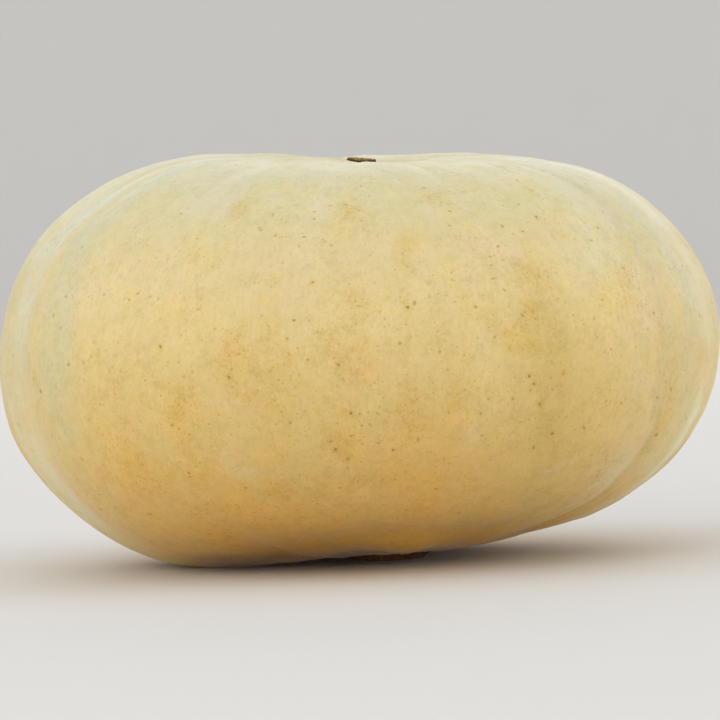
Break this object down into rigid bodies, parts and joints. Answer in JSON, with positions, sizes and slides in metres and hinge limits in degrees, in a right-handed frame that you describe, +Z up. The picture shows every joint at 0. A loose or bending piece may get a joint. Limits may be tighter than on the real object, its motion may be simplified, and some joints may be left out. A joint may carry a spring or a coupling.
{
  "type": "pumpkin",
  "caption": "Broad flattened pale-rinded pumpkin with shallow lobes, standing blossom end up on the cut stub of its stem.",
  "frame": {"origin": "middle of the footprint on the surface that the fruit stands on", "axes": "+Z up along the growth axis, towards the blossom end; +X along the longest width; the side that the first view shows faces -Y"},
  "size_m": [0.3786, 0.3524, 0.2166],
  "materials": {
    "rind": "waxy satin rind",
    "stem_cork": "dry matt cork",
    "scar_cork": "dry matt cork"
  },
  "bodies": {
    "root": {"fruit": "rind", "stem_stub": "stem_cork", "blossom_scar": "scar_cork"}
  },
  "joints": []
}
